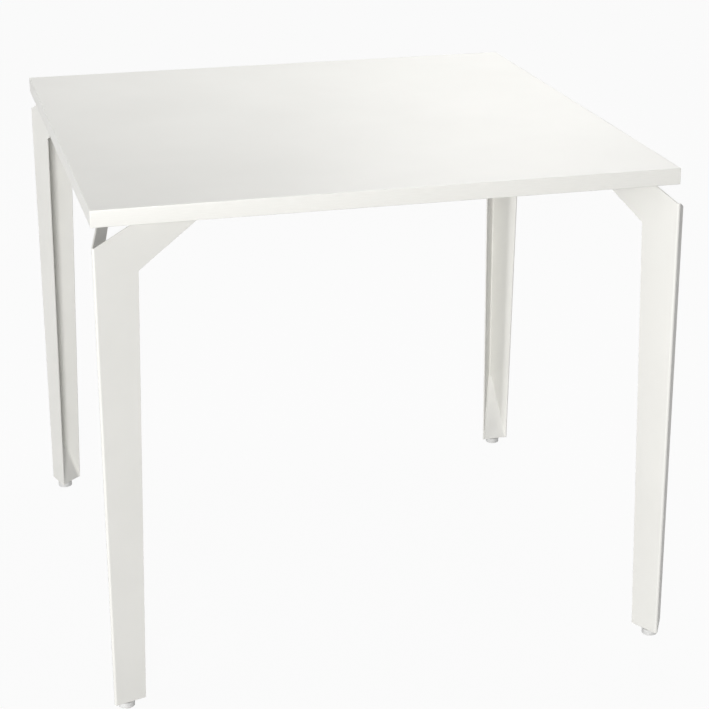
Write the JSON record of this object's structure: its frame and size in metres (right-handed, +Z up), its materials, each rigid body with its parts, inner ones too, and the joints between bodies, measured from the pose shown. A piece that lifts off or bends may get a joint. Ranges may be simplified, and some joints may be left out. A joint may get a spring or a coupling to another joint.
{
  "type": "office desk",
  "caption": "Square white office desk: thin edged worktop on tapering folded sheet-steel legs with notched arms and screw-down levelling glides",
  "frame": {"origin": "on the floor, under the centre of the desk's bounding box", "axes": "+Z up, +X to the right as seen from the front, +Y towards the back; the corner legs are at -X and the in-line legs at +X"},
  "size_m": [0.8306, 0.8, 0.72],
  "materials": {
    "white_laminate": "fine-textured white melamine laminate, satin",
    "chipboard": "raw chipboard, hidden by laminate and edging",
    "white_edging": "white plastic edging 2 mm thick with rounded edges, satin",
    "white_powder_coat": "white powder coat on 2 mm sheet steel, satin with fine orange peel",
    "pale_grey_plastic": "moulded pale grey nylon",
    "zinc_plated_steel": "bright zinc plate"
  },
  "bodies": {
    "desk": {"edge_band_back": "white_edging", "edge_band_front": "white_edging", "edge_band_left": "white_edging", "edge_band_right": "white_edging", "foot_plate_back_left": "white_powder_coat", "foot_plate_back_right": "white_powder_coat", "foot_plate_front_left": "white_powder_coat", "foot_plate_front_right": "white_powder_coat", "foot_web_back_left": "white_powder_coat", "foot_web_back_right": "white_powder_coat", "foot_web_front_left": "white_powder_coat", "foot_web_front_right": "white_powder_coat", "laminate_lower": "white_laminate", "laminate_upper": "white_laminate", "leg_sheet_back_left": "white_powder_coat", "leg_sheet_back_right": "white_powder_coat", "leg_sheet_front_left": "white_powder_coat", "leg_sheet_front_right": "white_powder_coat", "mounting_plate_back_left": "white_powder_coat", "mounting_plate_back_right": "white_powder_coat", "mounting_plate_front_left": "white_powder_coat", "mounting_plate_front_right": "white_powder_coat", "mounting_screw_back_left_1": "zinc_plated_steel", "mounting_screw_back_left_2": "zinc_plated_steel", "mounting_screw_back_left_3": "zinc_plated_steel", "mounting_screw_back_right_1": "zinc_plated_steel", "mounting_screw_back_right_2": "zinc_plated_steel", "mounting_screw_back_right_3": "zinc_plated_steel", "mounting_screw_front_left_1": "zinc_plated_steel", "mounting_screw_front_left_2": "zinc_plated_steel", "mounting_screw_front_left_3": "zinc_plated_steel", "mounting_screw_front_right_1": "zinc_plated_steel", "mounting_screw_front_right_2": "zinc_plated_steel", "mounting_screw_front_right_3": "zinc_plated_steel", "weld_nut_back_left": "zinc_plated_steel", "weld_nut_back_right": "zinc_plated_steel", "weld_nut_front_left": "zinc_plated_steel", "weld_nut_front_right": "zinc_plated_steel", "worktop_core": "chipboard"},
    "glide_front_left": {"glide_pad_front_left": "pale_grey_plastic", "glide_stud_front_left": "zinc_plated_steel"},
    "glide_back_left": {"glide_pad_back_left": "pale_grey_plastic", "glide_stud_back_left": "zinc_plated_steel"},
    "glide_front_right": {"glide_pad_front_right": "pale_grey_plastic", "glide_stud_front_right": "zinc_plated_steel"},
    "glide_back_right": {"glide_pad_back_right": "pale_grey_plastic", "glide_stud_back_right": "zinc_plated_steel"}
  },
  "joints": [
    {"name": "glide_front_left_height", "type": "slide", "parent": "desk", "child": "glide_front_left", "axis": [0, 0, -1], "range_m": [0, 0.015]},
    {"name": "glide_back_left_height", "type": "slide", "parent": "desk", "child": "glide_back_left", "axis": [0, 0, -1], "range_m": [0, 0.015]},
    {"name": "glide_front_right_height", "type": "slide", "parent": "desk", "child": "glide_front_right", "axis": [0, 0, -1], "range_m": [0, 0.015]},
    {"name": "glide_back_right_height", "type": "slide", "parent": "desk", "child": "glide_back_right", "axis": [0, 0, -1], "range_m": [0, 0.015]}
  ]
}
